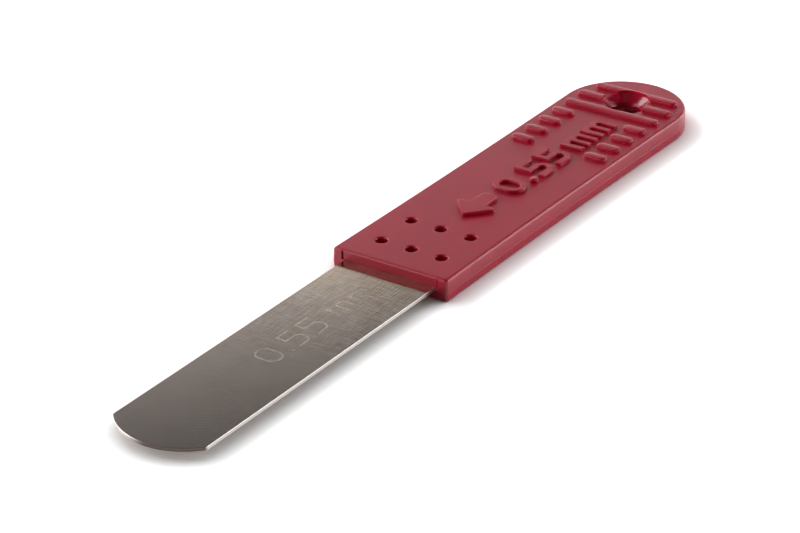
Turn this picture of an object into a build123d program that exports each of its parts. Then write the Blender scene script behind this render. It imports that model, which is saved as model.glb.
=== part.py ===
from build123d import *
from math import atan2, cos, sin, sqrt
import os

# Valve clearance gauge: a steel strip of known thickness with a plastic handle moulded round its tang.
# Frame: +X from the strip's tip to the handle's end, +Z up from the handle's flat underside, millimetres.

# Steel strip
blade_width = 15.0
blade_thickness = 0.55
blade_reach = 53.5
tip_bulge = 3.5
edge_break = 0.06
tang_length = 18.0
anchor_hole_radius = 1.5

# Handle
cheek_width = 2.0
handle_length = 70.5
handle_thickness = 3.4
side_hollow = 0.20
parting_height = 1.38
draft_angle = 2.0
edge_round = 0.25
corner_round = 0.40

# Fit between the plastic and the steel that it was moulded round
moulding_clearance = 0.01

# Front of the handle: the wall over the strip, with a narrow slot between it and each cheek
slot_from_strip = 0.20
slot_width = 0.30
slot_depth = 0.50
slot_below_face = 0.20
front_wall_setback = 0.12
front_wall_round = 0.20

# Marks of the pins that held the strip in the mould
pin_radius = 0.88
pin_mouth_break = 0.09
pin_first_row = 5.35
pin_row_pitch = 7.2
pin_rows = 2
pin_across_pitch = 4.96
pins_across = 3

# Hang hole
hang_hole_from_end = 8.4
hang_mouth_radius = 3.7
hang_throat_radius = 2.1
hang_throat_length = 1.2
hang_throat_blend = 0.9

# Grip ribs: raised bars across the handle, the last rows unbroken
rib_height = 0.50
rib_width = 1.55
rib_top_break = 0.30
rib_pitch = 3.66
rib_rows = 7
split_rib_rows = 4
last_rib_from_end = 5.2
rib_edge_margin = 1.5
split_rib_length = 3.65

# Places that follow from the sizes above
handle_width = blade_width + 2 * cheek_width
half_width = handle_width / 2
front_x = (blade_reach - handle_length) / 2
end_x = front_x + handle_length
tip_x = front_x - blade_reach
end_centre_x = end_x - half_width
blade_top = parting_height + blade_thickness
hang_x = end_x - hang_hole_from_end


def make_blade():
    """Flat strip with a shallow round tip, broken edges and two holes in its tang."""
    half = blade_width / 2
    corner_x = tip_x + tip_bulge
    back_x = front_x + tang_length
    tip = ThreePointArc((corner_x, half), (tip_x, 0), (corner_x, -half))
    sides = Polyline((corner_x, -half), (back_x, -half), (back_x, half), (corner_x, half))
    plan = Pos(0, 0, parting_height) * make_face([tip, sides])
    blade = extrude(plan, blade_thickness)
    flats = blade.faces().filter_by(Axis.Z)
    blade = chamfer(flats.edges(), edge_break)
    for place in anchor_places():
        blade -= place * Cylinder(anchor_hole_radius, 2 * handle_thickness)
    return blade


def anchor_places():
    x = front_x + pin_first_row + pin_row_pitch / 2
    return [Pos(x, side * pin_across_pitch / 2, 0) for side in (-1, 1)]


def tang_pocket():
    """The space in the handle that the tang fills; plastic stands through the tang's two holes."""
    length = tang_length + moulding_clearance
    width = blade_width + 2 * moulding_clearance
    thickness = blade_thickness + 2 * moulding_clearance
    outside = cheek_width
    pocket = Box(length + outside, width, thickness, align=(Align.MIN, Align.CENTER, Align.CENTER))
    pocket = Pos(front_x - outside, 0, parting_height + blade_thickness / 2) * pocket
    for place in anchor_places():
        pocket -= place * Cylinder(anchor_hole_radius - moulding_clearance, 2 * handle_thickness)
    return pocket


def handle_plan():
    """Hollow-sided plan with a full round end; each hollow side runs smoothly into the end's circle."""
    straight = end_centre_x - front_x
    waist = (straight**2 - 2 * half_width * side_hollow) / (2 * straight)
    hollow_radius = (waist**2 + side_hollow**2) / (2 * side_hollow)
    lean = atan2(half_width - side_hollow + hollow_radius, waist - straight)
    join_x = end_centre_x + half_width * cos(lean)
    join_y = half_width * sin(lean)
    waist_x = front_x + waist
    waist_y = half_width - side_hollow
    front = Line((front_x, half_width), (front_x, -half_width))
    near_side = ThreePointArc((front_x, -half_width), (waist_x, -waist_y), (join_x, -join_y))
    end = ThreePointArc((join_x, -join_y), (end_x, 0), (join_x, join_y))
    far_side = ThreePointArc((join_x, join_y), (waist_x, waist_y), (front_x, half_width))
    plan = make_face([front, near_side, end, far_side])
    return fillet(plan.vertices().group_by(Axis.X)[0], corner_round)


def moulded_body():
    """Two drafted halves that meet at the mould's parting line, where the handle is widest."""
    plan = Pos(0, 0, parting_height) * handle_plan()
    upper = extrude(plan, handle_thickness - parting_height, taper=draft_angle)
    lower = extrude(plan, parting_height, dir=(0, 0, -1), taper=draft_angle)
    body = upper + lower
    flats = body.faces().filter_by(Axis.Z)
    return fillet(flats.edges(), edge_round)


def grip_rib(x, y_low, y_high):
    """One raised bar with round ends, rooted in the body so that the two are one."""
    root = handle_thickness / 8
    plan = Pos(x, (y_low + y_high) / 2, handle_thickness - root) * SlotOverall(y_high - y_low, rib_width, 90)
    bar = extrude(plan, root + rib_height)
    return chamfer(bar.faces().sort_by(Axis.Z)[-1].edges(), rib_top_break)


def grip_ribs():
    ribs = []
    for row in range(rib_rows):
        x = end_x - last_rib_from_end - (rib_rows - 1 - row) * rib_pitch
        past_centre = max(0, x - end_centre_x)
        outer = sqrt(half_width**2 - past_centre**2) - rib_edge_margin
        inner = outer - split_rib_length
        if row < split_rib_rows:
            ribs += [grip_rib(x, inner, outer), grip_rib(x, -outer, -inner)]
        else:
            ribs.append(grip_rib(x, -outer, outer))
    return ribs


def hang_hole():
    """Hourglass hole: a short cylinder in the middle with a flare to each face, the turns blended."""
    middle = handle_thickness / 2
    throat = hang_throat_length / 2
    outside = 2 * rib_height
    outline = Polyline(
        (0, -outside),
        (hang_mouth_radius, -outside),
        (hang_mouth_radius, 0),
        (hang_throat_radius, middle - throat),
        (hang_throat_radius, middle + throat),
        (hang_mouth_radius, handle_thickness),
        (hang_mouth_radius, handle_thickness + outside),
        (0, handle_thickness + outside),
        close=True,
    )
    turns = outline.vertices().group_by(Axis.X)[1]
    profile = make_face(fillet(turns, hang_throat_blend))
    return Pos(hang_x, 0, 0) * revolve(Plane.XZ * profile, Axis.Z)


def pin_mark(depth):
    """A hole of the given depth below z = 0, with its mouth's edge broken."""
    outline = Polyline(
        (0, 0),
        (pin_radius + pin_mouth_break, 0),
        (pin_radius, -pin_mouth_break),
        (pin_radius, -depth),
        (0, -depth),
        close=True,
    )
    return revolve(Plane.XZ * make_face(outline), Axis.Z)


def pin_marks():
    """The mould's pins left blind holes in both faces, each down to the strip."""
    from_above = Pos(0, 0, handle_thickness) * pin_mark(handle_thickness - blade_top)
    from_below = mirror(pin_mark(parting_height), Plane.XY)
    middle_row = front_x + pin_first_row + (pin_rows - 1) * pin_row_pitch / 2
    places = Pos(middle_row, 0, 0) * GridLocations(pin_row_pitch, pin_across_pitch, pin_rows, pins_across)
    return [place * mark for place in places for mark in (from_above, from_below)]


def front_relief():
    """Sets the wall over the strip back from the cheeks and cuts the slots; the wall's edges are rounded."""
    wall_y = blade_width / 2 + slot_from_strip
    slot_y = wall_y + slot_width
    wall_x = front_x + front_wall_setback
    slot_x = front_x + slot_depth
    outside_x = front_x - cheek_width
    one_side = [(slot_x, slot_y), (slot_x, wall_y), (wall_x, wall_y)]
    other_side = [(x, -y) for x, y in reversed(one_side)]
    outline = Polyline((outside_x, slot_y), *one_side, *other_side, (outside_x, -slot_y), close=True)
    wall_edges = outline.vertices().group_by(Axis.X)[1]
    plan = make_face(fillet(wall_edges, front_wall_round))
    slots = extrude(Pos(0, 0, blade_top) * plan, handle_thickness - slot_below_face - blade_top)
    step = Box(wall_x - outside_x, 2 * slot_y, handle_thickness, align=(Align.MAX, Align.CENTER, Align.MIN))
    return slots + Pos(wall_x, 0, blade_top) * step


def make_handle():
    handle = moulded_body() + grip_ribs()
    handle -= hang_hole()
    handle -= pin_marks()
    handle -= front_relief()
    handle -= tang_pocket()
    return handle


os.makedirs("parts", exist_ok=True)
export_step(make_blade(), "parts/blade.step")
export_step(make_handle(), "parts/handle.step")
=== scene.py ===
from math import asin, atan2, cos, pi, radians, sin, sqrt, tan

import bmesh
import bpy
from mathutils import Matrix, Vector


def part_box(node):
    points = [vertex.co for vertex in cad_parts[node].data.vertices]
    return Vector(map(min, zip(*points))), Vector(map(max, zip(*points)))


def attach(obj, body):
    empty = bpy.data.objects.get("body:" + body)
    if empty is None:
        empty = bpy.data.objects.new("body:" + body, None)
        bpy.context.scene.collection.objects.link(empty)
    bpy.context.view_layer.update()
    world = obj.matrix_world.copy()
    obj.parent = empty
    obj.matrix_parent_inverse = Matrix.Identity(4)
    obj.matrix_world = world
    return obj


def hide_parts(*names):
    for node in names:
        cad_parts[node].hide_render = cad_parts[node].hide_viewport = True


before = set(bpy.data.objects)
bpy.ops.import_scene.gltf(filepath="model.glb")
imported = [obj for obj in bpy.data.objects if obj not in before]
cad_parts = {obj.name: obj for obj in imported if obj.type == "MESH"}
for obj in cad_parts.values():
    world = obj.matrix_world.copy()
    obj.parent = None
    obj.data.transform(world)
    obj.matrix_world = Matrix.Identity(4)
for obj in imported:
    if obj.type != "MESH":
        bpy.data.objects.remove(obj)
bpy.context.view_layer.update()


# Handle: one moulding of dark red plastic, formed round the strip's tang in a two-part mould.
# Its plan is hollow at the sides with a full round end; both halves draw away from the parting line,
# and their rims are rounded. Shapes are in millimetres until the finished mesh is scaled to metres.
MM = 0.001
front_x, half_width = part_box("handle")[0].x / MM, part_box("handle")[1].y / MM
end_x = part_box("handle")[1].x / MM
strip_half_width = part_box("blade")[1].y / MM
parting_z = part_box("blade")[0].z / MM
strip_top_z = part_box("blade")[1].z / MM
face_z = 3.4
side_hollow = 0.20
draft = radians(2)
rim_round = 0.42
rim_segments = 7
side_steps, end_steps = 32, 72
front_margin = 0.2
level_tolerance, centre_tolerance = 1e-4, 1e-5
flat_normal = 0.9
end_centre_x = end_x - half_width


def handle_outline(shape):
    """The plan at the parting line: each side is a shallow hollow arc that runs into the round end."""
    straight = end_centre_x - front_x
    waist = (straight**2 - 2 * half_width * side_hollow) / (2 * straight)
    hollow_radius = (waist**2 + side_hollow**2) / (2 * side_hollow)
    hollow_y = half_width - side_hollow + hollow_radius
    lean = atan2(hollow_y, waist - straight) - pi / 2
    sweep = atan2(waist, hollow_y - half_width) + lean
    turns = (((front_x + waist, -hollow_y), -sweep, side_steps),
             ((end_centre_x, 0), pi + 2 * lean, end_steps),
             ((front_x + waist, hollow_y), -sweep, side_steps))
    start = last = shape.verts.new((front_x, -half_width, parting_z))
    for (x, y), angle, steps in turns:
        arc = bmesh.ops.spin(shape, geom=[last], cent=(x, y, parting_z), axis=(0, 0, 1),
                             angle=angle, steps=steps)
        last = arc["geom_last"][0]
    shape.edges.new((last, start))
    return bmesh.ops.contextual_create(shape, geom=shape.edges[:])["faces"][0]


def rim_edges(shape, z):
    """Edges of the flat face at height z that turn down its side."""
    level = [e for e in shape.edges if all(abs(v.co.z - z) < level_tolerance for v in e.verts)]
    return [e for e in level if any(abs(f.normal.z) < flat_normal for f in e.link_faces)]


def round_edges(shape, edges, size, segments):
    bmesh.ops.bevel(shape, geom=edges, offset=size, segments=segments, profile=0.5,
                    affect="EDGES", material=-1, clamp_overlap=True)


def draw_out(shape, face, height, lean):
    """Draws a flat face out to the given height with draft, and returns the ring it started from."""
    ring = [loop.vert for loop in face.loops]
    bmesh.ops.inset_region(shape, faces=[face], use_boundary=True, use_even_offset=True,
                           thickness=height * tan(lean), depth=height)
    return ring


def moulded_body():
    """The handle's body: the plan drawn up and down from the parting plane, its rims rounded."""
    shape = bmesh.new()
    plan = handle_outline(shape)
    if plan.normal.z < 0:
        bmesh.ops.reverse_faces(shape, faces=[plan])
    shape.normal_update()
    ring = draw_out(shape, plan, face_z - parting_z, draft)
    underside = shape.faces.new(list(reversed(ring)))
    shape.normal_update()
    draw_out(shape, underside, parting_z, draft)
    shape.normal_update()
    near_front = front_x + front_margin
    upright = [e for e in shape.edges if abs(e.verts[0].co.z - e.verts[1].co.z) > parting_z / 2
               and all(v.co.x < near_front for v in e.verts)]
    rims = rim_edges(shape, face_z) + rim_edges(shape, 0.0)
    round_edges(shape, rims + upright, rim_round, rim_segments)
    return shape


# Grip ribs: raised bars with round ends across the handle, moulded with it. Four rows are split
# to leave room for the figures, and three rows past them run from side to side.
rib_height = 0.5
rib_width = 1.55
rib_pitch = 3.66
rib_rows = 7
split_rows = 4
last_rib_from_end = 5.2
rib_edge_margin = 1.5
split_rib_length = 3.65
raised_draft = radians(5)
top_round = 0.12
round_turns = (radians(30), radians(55))
crown_lean = radians(9)
crown_shares = (0.85, 0.6, 0.35, 0.12)
rib_crown = 0.5
root = 0.6


def vertices_in(geometry):
    return [item for item in geometry if isinstance(item, bmesh.types.BMVert)]


def raise_pad(shape, crown):
    """Draws a flat pad up from inside the body: drafted flanks, a small round, and a crown on top."""
    faces = shape.faces[:]
    for face in faces:
        if face.normal.z < 0:
            face.normal_flip()
    top = bmesh.ops.extrude_face_region(shape, geom=faces, use_keep_orig=True)["geom"]
    bmesh.ops.translate(shape, verts=vertices_in(top), vec=(0, 0, root))
    top = [f for f in top if isinstance(f, bmesh.types.BMFace)]
    shape.normal_update()
    turns = [raised_draft, *round_turns, pi / 2 - crown_lean]
    curve = [(top_round * (cos(a) - cos(b)), top_round * (sin(b) - sin(a)))
             for a, b in zip(turns, turns[1:])]
    leans = [crown_lean * share for share in crown_shares] if crown else []
    curve += [(crown / len(leans), crown / len(leans) * tan(lean)) for lean in leans]
    flank = rib_height - sum(rise for inset, rise in curve)
    for inset, rise in [(flank * tan(raised_draft), flank)] + curve:
        bmesh.ops.inset_region(shape, faces=top, use_boundary=True, use_even_offset=False,
                               thickness=inset, depth=rise)
        shape.normal_update()
    bmesh.ops.recalc_face_normals(shape, faces=shape.faces)


def add_to(shape, part):
    mesh = bpy.data.meshes.new("part")
    part.to_mesh(mesh)
    part.free()
    shape.from_mesh(mesh)
    bpy.data.meshes.remove(mesh)


def raised_bar(shape, x, y_low, y_high):
    """One rib: a round pad, pulled out to its length and raised."""
    bar = bmesh.new()
    bmesh.ops.create_circle(bar, cap_ends=True, radius=rib_width / 2, segments=28)
    reach = (y_high - y_low - rib_width) / 2
    for vert in bar.verts:
        vert.co.y += reach if vert.co.y > centre_tolerance else -reach
    bmesh.ops.translate(bar, verts=bar.verts, vec=(x, (y_low + y_high) / 2, face_z - root))
    bar.normal_update()
    raise_pad(bar, rib_crown)
    add_to(shape, bar)


def grip_ribs(shape):
    for row in range(rib_rows):
        x = end_x - last_rib_from_end - (rib_rows - 1 - row) * rib_pitch
        past_centre = max(0, x - end_centre_x)
        outer = sqrt(half_width**2 - past_centre**2) - rib_edge_margin
        if row < split_rows:
            raised_bar(shape, x, outer - split_rib_length, outer)
            raised_bar(shape, x, -outer, split_rib_length - outer)
        else:
            raised_bar(shape, x, -outer, outer)


# Raised figures: the gauge's thickness in plain numerals, and a plain arrow that points to the strip.
# They are moulded with the handle, as high as the ribs, and read with the strip to the left.
figures_x, figures_y = front_x + 26.9, -3.42
figure_wide, figure_high, figure_stroke, figure_gap = 3.75, 5.06, 0.9, 0.92
arrow_tip_x, arrow_neck_x, arrow_end_x = front_x + 17.2, front_x + 21.2, front_x + 24.7
arrow_y = -0.4
arrow_half_head, arrow_half_shaft = 3.6, 1.25
arrow_corner, arrow_barb_corner = 0.5, 1.2
arrow_crown = 0.12
steps_a_radian = 7


def flat_outline(start, *moves):
    """A flat face inside a path: each move is a place to go straight to, or an arc's centre and turn."""
    shape = bmesh.new()
    first = last = shape.verts.new((*start, 0))
    for x, y, *turn in moves:
        if turn:
            steps = max(4, round(abs(turn[0]) * steps_a_radian))
            arc = bmesh.ops.spin(shape, geom=[last], cent=(x, y, 0), axis=(0, 0, 1),
                                 angle=turn[0], steps=steps)
            last = arc["geom_last"][0]
        else:
            before, last = last, shape.verts.new((x, y, 0))
            shape.edges.new((before, last))
    shape.edges.new((last, first))
    bmesh.ops.contextual_create(shape, geom=shape.edges[:])
    return shape


def zero(wide, high, stroke):
    """A ring, pulled out to its height."""
    shape = bmesh.new()
    radius = wide / 2
    shape.edges.new([shape.verts.new((x, 0, 0)) for x in (-radius, stroke - radius)])
    bmesh.ops.spin(shape, geom=shape.verts[:] + shape.edges[:], cent=(0, 0, 0), axis=(0, 0, 1),
                   angle=2 * pi, steps=40, use_merge=True)
    for vert in shape.verts:
        vert.co.x += radius
        vert.co.y += high - radius if vert.co.y > centre_tolerance else radius
    return shape, wide


def point(wide, high, stroke):
    shape = bmesh.new()
    radius = 0.7 * stroke
    bmesh.ops.create_circle(shape, cap_ends=True, radius=radius, segments=24)
    bmesh.ops.translate(shape, verts=shape.verts, vec=(radius, radius, 0))
    return shape, 2 * radius


def five(wide, high, stroke):
    """A round bowl open to the left, a stem up from its upper end, and a bar along the top."""
    bowl = 0.31 * high
    bowl_x, neck_y = wide - bowl, 2 * bowl
    bar_end, bar_low = 0.93 * wide, high - stroke
    shape = flat_outline((0, 0), (bowl_x, 0), (bowl_x, bowl, pi), (stroke, neck_y), (stroke, bar_low),
                         (bar_end, bar_low), (bar_end, high), (0, high), (0, neck_y - stroke),
                         (bowl_x, neck_y - stroke), (bowl_x, bowl, -pi), (0, stroke))
    return shape, wide


def small_m(wide, high, stroke):
    """Three legs joined by two round arches."""
    wide, high = 1.22 * wide, 0.74 * high
    step = (wide - stroke) / 2
    inside = (step - stroke) / 2
    outside = inside + stroke
    spring = high - outside
    first, second = stroke + inside, step + stroke + inside
    lean = asin((inside + stroke / 2) / outside)
    shape = flat_outline((0, 0), (stroke, 0), (stroke, spring), (first, spring, -pi), (step, 0),
                         (step + stroke, 0), (step + stroke, spring), (second, spring, -pi),
                         (2 * step, 0), (wide, 0), (wide, spring), (second, spring, pi / 2 + lean),
                         (first, spring, lean), (0, high))
    return shape, wide


def lettering(text, x, y, z, wide, high, stroke, gap):
    """The figures of a text as flat shapes side by side at the height z, each one a mesh of its own."""
    shapes = []
    for letter in text:
        if letter == " ":
            x += gap
            continue
        draw = {"0": zero, ".": point, "5": five, "m": small_m}[letter]
        shape, room = draw(wide, high, stroke)
        bmesh.ops.remove_doubles(shape, verts=shape.verts, dist=level_tolerance)
        bmesh.ops.recalc_face_normals(shape, faces=shape.faces)
        bmesh.ops.translate(shape, verts=shape.verts, vec=(x, y, z))
        shape.normal_update()
        shapes.append(shape)
        x += room + gap
    return shapes


def raised_figures():
    figures = bmesh.new()
    sizes = (figure_wide, figure_high, figure_stroke, figure_gap)
    for shape in lettering("0.55 mm", figures_x, figures_y, face_z - root, *sizes):
        raise_pad(shape, 0)
        add_to(figures, shape)
    return figures


def raised_arrow():
    """A plain arrow: a three-cornered head and a shaft, the outer corners rounded."""
    outline = [(arrow_tip_x, 0), (arrow_neck_x, -arrow_half_head), (arrow_neck_x, -arrow_half_shaft),
               (arrow_neck_x, arrow_half_shaft), (arrow_neck_x, arrow_half_head),
               (arrow_end_x, -arrow_half_shaft), (arrow_end_x, arrow_half_shaft)]
    arrow = bmesh.new()
    tip, low_barb, low_neck, high_neck, high_barb, low_end, high_end = [
        arrow.verts.new((x, arrow_y + y, face_z - root)) for x, y in outline]
    arrow.faces.new((tip, low_barb, low_neck, high_neck, high_barb))
    arrow.faces.new((high_neck, low_neck, low_end, high_end))
    rounds = (((low_barb, high_barb), arrow_barb_corner), ((tip, low_end, high_end), arrow_corner))
    for corners, size in rounds:
        bmesh.ops.bevel(arrow, geom=corners, offset=size, segments=5, profile=0.5,
                        affect="VERTICES", material=-1)
    arrow.normal_update()
    raise_pad(arrow, arrow_crown)
    return arrow


# Hang hole, pin marks and the strip's pocket: the hole flares to both faces from a short throat. The
# pins held the strip in the mould, and left blind holes in both faces, each down to the steel.
hang_x = end_x - 8.4
hang_mouth_radius, hang_throat_radius = 3.7, 2.1
hang_throat_length, hang_blend = 1.2, 0.473
pin_radius, pin_mouth_round = 0.91, 0.21
pin_first_row, pin_rows, pin_row_pitch, pin_across_pitch = 5.35, 2, 7.2, 4.96
mouth_turns = (0, radians(30), radians(60))
tang_length = 18.0
clearance = 0.01
hang_steps, pin_steps = 96, 40

# How far the cutting shapes stand past the faces, past a mouth's rim and into the pocket, and where
# they start in front of the handle
past_face, past_rim, into_pocket = 1, 0.003, 0.2
before_front_x = front_x - 2


def turned(shape, profile, x, y, steps, blends=()):
    """A solid turned about the upright line at x, y: the profile's points are radius and height."""
    part = bmesh.new()
    points = [part.verts.new((radius, 0, z)) for radius, z in profile]
    for first, second in zip(points, points[1:]):
        part.edges.new((first, second))
    if blends:
        bends = [points[place] for place in blends]
        bmesh.ops.bevel(part, geom=bends, offset=hang_blend, segments=8, profile=0.5,
                        affect="VERTICES", material=-1)
    bmesh.ops.spin(part, geom=part.verts[:] + part.edges[:], cent=(0, 0, 0), axis=(0, 0, 1),
                   angle=2 * pi, steps=steps, use_merge=True)
    bmesh.ops.remove_doubles(part, verts=part.verts, dist=centre_tolerance)
    bmesh.ops.recalc_face_normals(part, faces=part.faces)
    bmesh.ops.translate(part, verts=part.verts, vec=(x, y, 0))
    add_to(shape, part)


def holes(shape):
    middle = face_z / 2
    throat = hang_throat_length / 2
    top = face_z + past_face
    hang = [(0, -past_face), (hang_mouth_radius, -past_face), (hang_mouth_radius, 0),
            (hang_throat_radius, middle - throat), (hang_throat_radius, middle + throat),
            (hang_mouth_radius, face_z), (hang_mouth_radius, top), (0, top)]
    turned(shape, hang, hang_x, 0, hang_steps, blends=(3, 4))
    mouth = [(pin_radius + pin_mouth_round * (1 - cos(turn)), pin_mouth_round * (1 - sin(turn)))
             for turn in mouth_turns]
    rim = pin_radius + pin_mouth_round
    mouth.append((rim, -past_rim))
    low, high = strip_top_z - into_pocket, parting_z + into_pocket
    above = [(0, low), (pin_radius, low)] + [(radius, face_z - depth) for radius, depth in mouth]
    above += [(rim, top), (0, top)]
    below = [(0, high), (pin_radius, high)] + mouth + [(rim, -past_face), (0, -past_face)]
    for row in range(pin_rows):
        x = front_x + pin_first_row + row * pin_row_pitch
        for y in (-pin_across_pitch, 0, pin_across_pitch):
            turned(shape, above, x, y, pin_steps)
            turned(shape, below, x, y, pin_steps)


def block(shape, low, high):
    """A plain block between two corners."""
    cube = bmesh.ops.create_cube(shape, size=1.0)["verts"]
    middle = [(a + b) / 2 for a, b in zip(low, high)]
    bmesh.ops.scale(shape, verts=cube, vec=[b - a for a, b in zip(low, high)])
    bmesh.ops.translate(shape, verts=cube, vec=middle)


def pocket(shape):
    half = strip_half_width + clearance
    low = (before_front_x, -half, parting_z - clearance)
    high = (front_x + tang_length, half, strip_top_z + clearance)
    block(shape, low, high)


# Front of the handle: the wall over the strip stands just behind the cheeks, its edges rounded, and a
# narrow slot parts it from each cheek, where the mould closed on the strip's edges.
wall_setback, wall_round, wall_top_round = 0.10, 0.20, 0.34
slot_from_strip, slot_width, slot_depth, slot_below_face = 0.20, 0.30, 0.30, 0.20


def front_wall(shape):
    """The space in front of the wall: its plane leans with the draft and turns into the upper face."""
    wall_x = front_x + wall_setback
    top_x = wall_x + (face_z - strip_top_z) * tan(draft)
    half = strip_half_width + slot_from_strip + slot_width
    back_x, top = top_x + past_face, face_z + past_face
    outline = [(before_front_x, strip_top_z), (wall_x, strip_top_z), (top_x, face_z),
               (back_x, face_z), (back_x, top), (before_front_x, top)]
    corners = [shape.verts.new((x, -half, z)) for x, z in outline]
    shape.faces.new(corners)
    bmesh.ops.bevel(shape, geom=[corners[2]], offset=wall_top_round, segments=6, profile=0.5,
                    affect="VERTICES", material=-1)
    pull(shape, shape.faces[:], (0, 2 * half, 0))


def cheek_slots(shape):
    """The space of the two slots and of the strip of wall between them, whose ends are rounded."""
    wall_y = strip_half_width + slot_from_strip
    slot_y, slot_x = wall_y + slot_width, front_x + slot_depth
    wall_x = front_x + wall_setback
    side = [(before_front_x, slot_y), (slot_x, slot_y), (slot_x, wall_y), (wall_x, wall_y)]
    outline = side + [(x, -y) for x, y in reversed(side)]
    corners = [shape.verts.new((x, y, strip_top_z)) for x, y in outline]
    shape.faces.new(corners)
    bmesh.ops.bevel(shape, geom=corners[3:5], offset=wall_round, segments=5, profile=0.5,
                    affect="VERTICES", material=-1)
    pull(shape, shape.faces[:], (0, 0, face_z - slot_below_face - strip_top_z))


def pull(shape, faces, way):
    """Pulls flat faces out into closed solids."""
    walls = bmesh.ops.extrude_face_region(shape, geom=faces, use_keep_orig=True)
    bmesh.ops.translate(shape, verts=vertices_in(walls["geom"]), vec=way)
    bmesh.ops.recalc_face_normals(shape, faces=shape.faces)


def cut(target, operation, build):
    """Adds or takes away what build makes, by an exact boolean between closed meshes."""
    shape = bmesh.new()
    build(shape)
    mesh = bpy.data.meshes.new("tool")
    shape.to_mesh(mesh)
    shape.free()
    tool = bpy.data.objects.new("tool", mesh)
    bpy.context.scene.collection.objects.link(tool)
    modifier = target.modifiers.new("cut", "BOOLEAN")
    modifier.operation = operation
    modifier.solver = "EXACT"
    modifier.object = tool
    result = bpy.data.meshes.new_from_object(target.evaluated_get(bpy.context.evaluated_depsgraph_get()))
    target.modifiers.clear()
    old = target.data
    target.data = result
    bpy.data.meshes.remove(old)
    bpy.data.objects.remove(tool)
    bpy.data.meshes.remove(mesh)


class Nodes:
    """A material's node tree, with short calls to add a node or join a value to a socket."""

    def __init__(self, name):
        self.material = bpy.data.materials.new(name)
        self.material.use_nodes = True
        self.tree = self.material.node_tree
        self.shader = self.tree.nodes["Principled BSDF"]
        self.place = self.add("ShaderNodeTexCoord").outputs["Object"]

    def add(self, kind, **settings):
        node = self.tree.nodes.new(kind)
        for key, value in settings.items():
            setattr(node, key, value)
        return node

    def join(self, source, socket):
        if isinstance(source, bpy.types.NodeSocket):
            self.tree.links.new(source, socket)
        else:
            socket.default_value = source

    def maths(self, operation, first, second=0.0):
        node = self.add("ShaderNodeMath", operation=operation)
        for source, socket in zip((first, second), node.inputs):
            self.join(source, socket)
        return node.outputs[0]

    def axis(self, letter):
        node = self.add("ShaderNodeSeparateXYZ")
        self.join(self.place, node.inputs[0])
        return node.outputs[letter]

    def noise(self, sizes, detail):
        """Noise whose blots have about these sizes along each axis, in millimetres."""
        stretch = self.add("ShaderNodeMapping")
        stretch.inputs["Scale"].default_value = [1 / (size * MM) for size in sizes]
        self.join(self.place, stretch.inputs["Vector"])
        node = self.add("ShaderNodeTexNoise")
        node.inputs["Scale"].default_value = 1.0
        node.inputs["Detail"].default_value = detail
        self.join(stretch.outputs[0], node.inputs["Vector"])
        return node.outputs["Fac"]

    def ramp(self, source, low, high, to_low=0.0, to_high=1.0, smooth=False):
        kind = "SMOOTHSTEP" if smooth else "LINEAR"
        node = self.add("ShaderNodeMapRange", interpolation_type=kind)
        for value, socket in zip((source, low, high, to_low, to_high), node.inputs):
            self.join(value, socket)
        return node.outputs[0]

    def blend(self, factor, first, second):
        node = self.add("ShaderNodeMix", data_type="RGBA")
        self.join(factor, node.inputs[0])
        self.join(first, node.inputs[6])
        self.join(second, node.inputs[7])
        return node.outputs[2]

    def bump(self, height, distance):
        node = self.add("ShaderNodeBump")
        node.inputs["Strength"].default_value = 1.0
        node.inputs["Distance"].default_value = distance
        self.join(height, node.inputs["Height"])
        self.join(node.outputs[0], self.shader.inputs["Normal"])


# Plastic: dark red and slightly translucent, so that thin edges glow. The mould was spark-finished,
# which leaves a fine satin grain, its halves meet in a faint line, and the hang hole is polished.
crimson_dark = (0.370, 0.0020, 0.0225, 1)
crimson_light = (0.500, 0.0042, 0.0335, 1)
noise_range = (0.3, 0.7)
cloud_size, cloud_share = 7, 0.4
grain_size, grain_share = 0.21, 0.6
grain_height = 0.009
satin_low, satin_high, polish = 0.28, 0.36, 0.14
bore_margin, face_margin = 0.02, 0.01
seam_width, seam_height = 0.14, 3.4
light_depths, light_reach = (1.0, 0.3, 0.5), 0.6
refraction = 1.5
plastic_crease = radians(40)
weld_distance, flat_angle = 0.002, radians(0.05)


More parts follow.
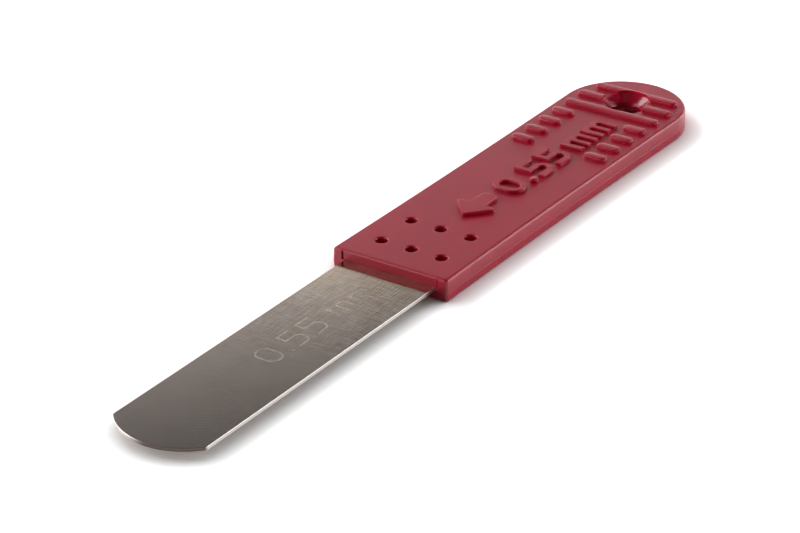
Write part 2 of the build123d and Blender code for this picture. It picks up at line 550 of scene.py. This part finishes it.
def moulded_plastic():
    nodes = Nodes("moulded_plastic")
    clouds = nodes.noise([cloud_size] * 3, detail=3.0)
    grain = nodes.noise([grain_size] * 3, detail=1.5)
    cloudy = nodes.ramp(clouds, *noise_range, 0.0, cloud_share)
    grainy = nodes.ramp(grain, *noise_range, 0.0, grain_share)
    tint = nodes.blend(nodes.maths("ADD", cloudy, grainy), crimson_dark, crimson_light)
    nodes.join(tint, nodes.shader.inputs["Base Color"])

    along = nodes.maths("SUBTRACT", nodes.axis("X"), hang_x * MM)
    across_squared = nodes.maths("POWER", nodes.axis("Y"), 2.0)
    along_squared = nodes.maths("POWER", along, 2.0)
    radius = nodes.maths("SQRT", nodes.maths("ADD", across_squared, along_squared))
    in_bore = nodes.maths("LESS_THAN", radius, (hang_mouth_radius + bore_margin) * MM)
    below_face = nodes.maths("LESS_THAN", nodes.axis("Z"), (face_z - face_margin) * MM)
    polished = nodes.maths("MULTIPLY", in_bore, below_face)
    satin = nodes.ramp(grain, *noise_range, satin_low, satin_high)
    roughness = nodes.maths("SUBTRACT", satin, nodes.maths("MULTIPLY", polished, polish))
    nodes.join(roughness, nodes.shader.inputs["Roughness"])

    from_parting = nodes.maths("ABSOLUTE", nodes.maths("SUBTRACT", nodes.axis("Z"), parting_z * MM))
    seam = nodes.ramp(from_parting, 0.0, seam_width * MM, 1.0, 0.0, smooth=True)
    texture = nodes.maths("MULTIPLY", grain, nodes.maths("SUBTRACT", 1.0, polished))
    height = nodes.maths("ADD", texture, nodes.maths("MULTIPLY", seam, seam_height))
    nodes.bump(height, grain_height * MM)

    nodes.shader.subsurface_method = "BURLEY"
    shader = nodes.shader.inputs
    shader["Subsurface Weight"].default_value = 1.0
    shader["Subsurface Radius"].default_value = light_depths
    shader["Subsurface Scale"].default_value = light_reach * MM
    shader["IOR"].default_value = refraction
    return nodes.material


def finished(mesh, name, slot, crease, *materials):
    """A finished piece: scaled to metres, smooth up to the crease, and riding on the one body."""
    shape = bmesh.new()
    shape.from_mesh(mesh)
    bmesh.ops.remove_doubles(shape, verts=shape.verts, dist=weld_distance)
    bmesh.ops.dissolve_limit(shape, angle_limit=flat_angle, verts=shape.verts, edges=shape.edges)
    loose = [e for e in shape.edges if not e.link_faces]
    bmesh.ops.delete(shape, geom=loose, context="EDGES")
    for face in shape.faces:
        face.smooth = True
    for edge in shape.edges:
        edge.smooth = edge.calc_face_angle(pi) < crease
    bmesh.ops.scale(shape, verts=shape.verts, vec=(MM, MM, MM))
    shape.to_mesh(mesh)
    shape.free()
    mesh.name = name
    piece = bpy.data.objects.new(name, mesh)
    bpy.context.scene.collection.objects.link(piece)
    weighted = piece.modifiers.new("flat faces stay flat", "WEIGHTED_NORMAL")
    weighted.keep_sharp = True
    for material in materials:
        mesh.materials.append(material)
    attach(piece, "root")
    return piece


body = moulded_body()
body_mesh = bpy.data.meshes.new("body")
body.to_mesh(body_mesh)
body.free()
blank = bpy.data.objects.new("blank", body_mesh)
bpy.context.scene.collection.objects.link(blank)
cut(blank, "UNION", grip_ribs)
cut(blank, "DIFFERENCE", holes)
cut(blank, "DIFFERENCE", front_wall)
cut(blank, "DIFFERENCE", cheek_slots)
cut(blank, "DIFFERENCE", pocket)
handle_mesh = blank.data
bpy.data.objects.remove(blank)
plastic = moulded_plastic()
handle = finished(handle_mesh, "moulded_handle", "handle_plastic", plastic_crease, plastic)
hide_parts("handle")

for name, make in (("raised_figures", raised_figures), ("raised_arrow", raised_arrow)):
    shape = make()
    mesh = bpy.data.meshes.new(name)
    shape.to_mesh(mesh)
    shape.free()
    finished(mesh, name, "handle_plastic", plastic_crease, plastic)


# Strip: spring steel, rolled and ground to 0.55 mm. Its flats are satin with a fine criss-cross grain
# and a tint that warms towards the handle, partly a painted reflection; its long sides are sheared, with
# painted highlights along their edges, and its tip is painted dark as a painted dark reflection.
tip_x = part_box("blade")[0].x / MM
tip_bulge = 3.5
tip_steps = 48
strip_edge_break = 0.06
steel_crease = radians(35)
scratch_pitch, scratch_waver, scratch_depth = 0.42, 9.0, 0.0003
scratch_share, streak_share = 0.45, 0.6
streak_wide, streak_long = 0.2, 2.5
waver_along, waver_across = (3.2, 0.9, 1.0), (0.9, 2.6, 1.0)
worn_until_x, worn_share = tip_x + 18, 0.15
tip_tint_x, middle_tint_x, warm_reflection_x = tip_x + 7, front_x - 17, front_x - 16
steel_cloud_size, steel_cloud_share = 5, 0.12
scratch_contrast = 0.22
flat_roughness, scratch_roughness = 0.17, 0.02
highlight_from, highlight_full = 0.08, 0.16
tip_zone_x = tip_x + tip_bulge
tip_zone_before, tip_zone_after = 0.2, 0.1
dark_until_y, dark_gone_y = -0.5, 4.0
side_streaks = (1.5, 1.5, 0.07)
side_smooth, side_rough = 0.2, 0.32
black, white = (0, 0, 0, 1), (1, 1, 1, 1)
steel_tip = (0.715, 0.550, 0.450, 1)
steel_middle = (0.530, 0.372, 0.262, 1)
steel_warm_reflection = (0.680, 0.465, 0.268, 1)
steel_edge_highlight = (0.90, 0.86, 0.83, 1)
steel_broken = (0.64, 0.56, 0.50, 1)
painted_dark_tip = (0.10, 0.075, 0.065, 1)


def strip_mesh():
    """The strip's plan with its shallow round tip, extruded to its thickness, with broken edges."""
    half = strip_half_width
    radius = (half**2 + tip_bulge**2) / (2 * tip_bulge)
    reach = atan2(half, radius - tip_bulge)
    turns = [reach - 2 * reach * step / tip_steps for step in range(tip_steps + 1)]
    tip = [(tip_x + radius * (1 - cos(turn)), radius * sin(turn)) for turn in turns]
    back_x = front_x + tang_length - 2 * clearance
    shape = bmesh.new()
    corners = [shape.verts.new((x, y, parting_z)) for x, y in tip + [(back_x, -half), (back_x, half)]]
    face = shape.faces.new(corners)
    walls = bmesh.ops.extrude_face_region(shape, geom=[face])
    moved = vertices_in(walls["geom"])
    bmesh.ops.translate(shape, verts=moved, vec=(0, 0, strip_top_z - parting_z))
    bmesh.ops.recalc_face_normals(shape, faces=shape.faces)
    rims = rim_edges(shape, strip_top_z) + rim_edges(shape, parting_z)
    round_edges(shape, rims, strip_edge_break, segments=2)
    mesh = bpy.data.meshes.new("strip")
    shape.to_mesh(mesh)
    shape.free()
    return mesh


def scratches(nodes, across, waver_sizes):
    """Wavering marks side by side along the given axis, an even pitch apart, with finer streaks."""
    waver = nodes.maths("MULTIPLY", nodes.noise(waver_sizes, detail=1.0), scratch_waver)
    turns = nodes.maths("MULTIPLY", nodes.axis(across), 2 * pi / (scratch_pitch * MM))
    wave = nodes.maths("SINE", nodes.maths("ADD", turns, waver))
    streak_sizes = [streak_wide if letter == across else streak_long for letter in "XYZ"]
    fine = nodes.noise(streak_sizes, detail=0.0)
    streaks = nodes.ramp(fine, *noise_range, -streak_share, streak_share)
    return nodes.maths("ADD", nodes.maths("MULTIPLY", wave, scratch_share), streaks)


def satin_steel():
    """Ground steel: a fine weave of marks along and across the strip, fainter towards the tip."""
    nodes = Nodes("satin_steel")
    along = nodes.axis("X")
    hatch = nodes.maths("ADD", scratches(nodes, "Y", waver_along), scratches(nodes, "X", waver_across))
    worn = nodes.ramp(along, worn_until_x * MM, front_x * MM, worn_share, 1.0, smooth=True)
    marks = nodes.maths("MULTIPLY", hatch, worn)
    clouds = nodes.noise([steel_cloud_size] * 3, detail=4.0)
    cloud = nodes.ramp(clouds, *noise_range, -steel_cloud_share, steel_cloud_share)
    # Partly painted reflection: the tint changes from the tip to the middle and warms near the handle,
    # where the flats mirror the handle.
    to_middle = nodes.ramp(along, tip_tint_x * MM, middle_tint_x * MM)
    to_handle_reflection = nodes.ramp(along, warm_reflection_x * MM, front_x * MM, smooth=True)
    tint = nodes.blend(nodes.maths("ADD", to_middle, cloud), steel_tip, steel_middle)
    tint = nodes.blend(nodes.maths("ADD", to_handle_reflection, cloud), tint, steel_warm_reflection)
    darker = nodes.blend(0.5, tint, black)
    lighter = nodes.blend(0.5, tint, white)
    shade = nodes.maths("ADD", nodes.maths("MULTIPLY", marks, scratch_contrast), 0.5)
    nodes.join(nodes.blend(shade, darker, lighter), nodes.shader.inputs["Base Color"])
    roughness = nodes.maths("ADD", nodes.maths("MULTIPLY", marks, scratch_roughness), flat_roughness)
    nodes.join(roughness, nodes.shader.inputs["Roughness"])
    nodes.bump(marks, scratch_depth * MM)
    nodes.shader.inputs["Metallic"].default_value = 1.0
    return nodes.material


def sheared_steel():
    """The narrow sides: pale along both edges, where highlights are painted into the colour, and duller
    between them, where the shear broke the steel. The round tip is painted dark towards its right
    corner, a painted dark reflection."""
    nodes = Nodes("sheared_steel")
    streaks = nodes.noise(side_streaks, detail=2.0)
    middle_z = (parting_z + strip_top_z) / 2
    from_middle = nodes.maths("ABSOLUTE", nodes.maths("SUBTRACT", nodes.axis("Z"), middle_z * MM))
    # Painted highlights: the side's colour turns pale near both of its edges.
    painted_highlight = nodes.ramp(from_middle, highlight_from * MM, highlight_full * MM, smooth=True)
    tint = nodes.blend(painted_highlight, steel_broken, steel_edge_highlight)
    zone_start, zone_end = tip_zone_x - tip_zone_before, tip_zone_x + tip_zone_after
    at_tip = nodes.ramp(nodes.axis("X"), zone_start * MM, zone_end * MM, 1.0, 0.0)
    to_right = nodes.ramp(nodes.axis("Y"), dark_until_y * MM, dark_gone_y * MM, 1.0, 0.0, smooth=True)
    # Painted dark reflection: the tip's side turns dark brown towards its right corner.
    tint = nodes.blend(nodes.maths("MULTIPLY", at_tip, to_right), tint, painted_dark_tip)
    nodes.join(tint, nodes.shader.inputs["Base Color"])
    roughness = nodes.ramp(streaks, *noise_range, side_smooth, side_rough)
    nodes.join(roughness, nodes.shader.inputs["Roughness"])
    nodes.shader.inputs["Metallic"].default_value = 1.0
    return nodes.material


steels = (satin_steel(), sheared_steel())
strip = finished(strip_mesh(), "steel_strip", "strip_steel", steel_crease, *steels)
for face in strip.data.polygons:
    face.material_index = 0 if abs(face.normal.z) > flat_normal else 1
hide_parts("blade")


# Marking on the strip: its thickness in millimetres, etched in thin plain figures, paler than the steel.
# The etch is a film of frosted metal a hundredth of a millimetre proud, in two groups of figures.
etch_wide, etch_high, etch_stroke, etch_gap = 2.95, 4.12, 0.28, 1.12
etch_value_x, etch_unit_x, etch_y = front_x - 28.7, front_x - 13.3, -2.02
film_sunk, film_thickness = 0.01, 0.02
etch_dark = (0.43, 0.38, 0.335, 1)
etch_light = (0.58, 0.51, 0.45, 1)
etch_warm_reflection = (0.70, 0.59, 0.48, 1)
etch_patch_size, etch_roughness = 1.2, 0.45
etch_patch_range, etch_worn_range, etch_worn_least = (0.35, 0.65), (0.40, 0.55), 0.25
etch_warm_from_x, etch_warm_full_x = front_x - 28, front_x - 12


def etched_steel():
    """Frosted steel: darker and lighter patches, and a warmer, patchy tint near the handle, partly a
    painted reflection.
    """
    nodes = Nodes("etched_steel")
    patches = nodes.noise([etch_patch_size] * 3, detail=3.0)
    tint = nodes.blend(nodes.ramp(patches, *etch_patch_range), etch_dark, etch_light)
    # Partly painted reflection: the etch turns warmer towards the handle, in patches.
    near_handle = nodes.ramp(nodes.axis("X"), etch_warm_from_x * MM, etch_warm_full_x * MM)
    patchy = nodes.ramp(patches, *etch_worn_range, etch_worn_least, 1.0)
    tint = nodes.blend(nodes.maths("MULTIPLY", near_handle, patchy), tint, etch_warm_reflection)
    nodes.join(tint, nodes.shader.inputs["Base Color"])
    nodes.shader.inputs["Metallic"].default_value = 1.0
    nodes.shader.inputs["Roughness"].default_value = etch_roughness
    return nodes.material


frosted = etched_steel()
for name, text, left in (("etched_value", "0.55", etch_value_x), ("etched_unit", "mm", etch_unit_x)):
    film = bmesh.new()
    place = (left, etch_y, strip_top_z - film_sunk)
    for shape in lettering(text, *place, etch_wide, etch_high, etch_stroke, etch_gap):
        pull(shape, shape.faces[:], (0, 0, film_thickness))
        add_to(film, shape)
    mesh = bpy.data.meshes.new(name)
    film.to_mesh(mesh)
    film.free()
    finished(mesh, name, "strip_steel", steel_crease, frosted)


# Floor: a plain white sheet that glows a little, as one lit from below, so that the ground is white and
# the gauge's shadow stays soft. The glow fades out near and under the gauge, which paints a soft shadow
# there. Light that bounces from the sheet to the gauge is weaker.
floor_reach = 3.0
glow = 0.78
painted_shadow_reach, painted_shadow_falloff = 4.0, 3.0
floor_dull = (0.6, 0.6, 0.6, 1)


def floor_material():
    nodes = Nodes("white_floor")
    nodes.shader.inputs["Roughness"].default_value = 0.9
    nodes.shader.inputs["Specular IOR Level"].default_value = 0.0
    path = nodes.add("ShaderNodeLightPath")
    seen = nodes.maths("MAXIMUM", path.outputs["Is Camera Ray"], path.outputs["Is Glossy Ray"])
    seen = nodes.maths("MAXIMUM", seen, path.outputs["Is Transmission Ray"])
    nodes.join(nodes.blend(seen, floor_dull, white), nodes.shader.inputs["Base Color"])
    # Painted shadow: the glow dims by ambient occlusion where the gauge is near.
    painted_shadow_probe = nodes.add("ShaderNodeAmbientOcclusion")
    painted_shadow_probe.inputs["Distance"].default_value = painted_shadow_reach * MM
    outside_painted_shadow = nodes.maths("POWER", painted_shadow_probe.outputs["AO"], painted_shadow_falloff)
    strength = nodes.maths("MULTIPLY", nodes.maths("MULTIPLY", outside_painted_shadow, seen), glow)
    nodes.shader.inputs["Emission Color"].default_value = white
    nodes.join(strength, nodes.shader.inputs["Emission Strength"])
    return nodes.material


floor_shape = bmesh.new()
bmesh.ops.create_grid(floor_shape, x_segments=1, y_segments=1, size=floor_reach)
floor_mesh = bpy.data.meshes.new("floor")
floor_shape.to_mesh(floor_mesh)
floor_shape.free()
floor = bpy.data.objects.new("floor", floor_mesh)
bpy.context.scene.collection.objects.link(floor)
floor.data.materials.append(floor_material())


# Studio light: soft boxes round the back and sides, as in a light tent, and none on the camera's side.
# The strongest stand low at the left, high at the back left and low at the right. Two weak ones hang
# overhead, and one past the handle's end is there for the strip to mirror when seen from its tip.
box_distance = 0.8


def soft_box(name, azimuth, elevation, across, tall, radiance):
    """A rectangular lamp that faces the gauge; its direction and its apparent size are in degrees."""
    lamp = bpy.data.lights.new(name, "AREA")
    lamp.shape = "RECTANGLE"
    lamp.size = 2 * box_distance * tan(radians(across / 2)) * cos(radians(elevation))
    lamp.size_y = 2 * box_distance * tan(radians(tall / 2))
    lamp.energy = radiance * pi * lamp.size * lamp.size_y
    flat = box_distance * cos(radians(elevation))
    height = box_distance * sin(radians(elevation))
    spot = Vector((flat * cos(radians(azimuth)), flat * sin(radians(azimuth)), height))
    box = bpy.data.objects.new(name, lamp)
    box.matrix_world = Matrix.Translation(spot) @ spot.to_track_quat("Z", "Y").to_matrix().to_4x4()
    box.visible_camera = False
    bpy.context.scene.collection.objects.link(box)


soft_box("back_low", 37, 7, 50, 14, 2.1)
soft_box("back_left", 50, 21.5, 25, 15, 1.05)
soft_box("back_middle", 25, 21.5, 25, 15, 0.65)
soft_box("back_left_high", 75, 38, 25, 20, 5.6)
soft_box("left_low", 105, 12, 35, 24, 6.0)
soft_box("front_left_low", 145, 12, 40, 24, 2.7)
soft_box("right_low", -42, 12, 56, 24, 5.0)
soft_box("front_right_low", -80, 7, 25, 14, 3.5)
soft_box("right_upper", -25, 38, 44, 20, 1.2)
soft_box("left_high", 120, 40, 40, 22, 2.6)
soft_box("overhead", 35, 64, 60, 26, 0.2)
soft_box("above", 90, 85, 40, 40, 0.4)
soft_box("right_end_low", -1, 10, 26, 14, 1.0)


# Room: white to the camera past the floor's edge, and almost dark as a light and where steel mirrors it.
room_seen, room_as_light = 1.0, 0.02
world = bpy.data.worlds.new("white_room")
world.use_nodes = True
bpy.context.scene.world = world
room = world.node_tree
room_light = room.nodes["Background"]
room_light.inputs["Color"].default_value = white
path = room.nodes.new("ShaderNodeLightPath")
level = room.nodes.new("ShaderNodeMapRange")
level.inputs["To Min"].default_value = room_as_light
level.inputs["To Max"].default_value = room_seen
room.links.new(path.outputs["Is Camera Ray"], level.inputs["Value"])
room.links.new(level.outputs[0], room_light.inputs["Strength"])

bpy.context.scene.view_settings.view_transform = "Standard"


# Camera: at the photograph's place and angle, with its long lens.
camera_place = (-321.209 * MM, -222.598 * MM, 201.429 * MM)
camera_azimuth = 35.220
camera_pitch = 27.342
camera_roll = -1.220
camera_data = bpy.data.cameras.new("camera")
camera_data.sensor_width = 36.0
camera_data.lens = 143.34
camera_data.clip_start = 0.01
camera = bpy.data.objects.new("camera", camera_data)
turn = Matrix.Rotation(radians(camera_azimuth - 90), 4, "Z")
tilt = Matrix.Rotation(radians(90 - camera_pitch), 4, "X")
roll = Matrix.Rotation(radians(camera_roll), 4, "Z")
camera.matrix_world = Matrix.Translation(camera_place) @ turn @ tilt @ roll
bpy.context.scene.collection.objects.link(camera)
bpy.context.scene.camera = camera
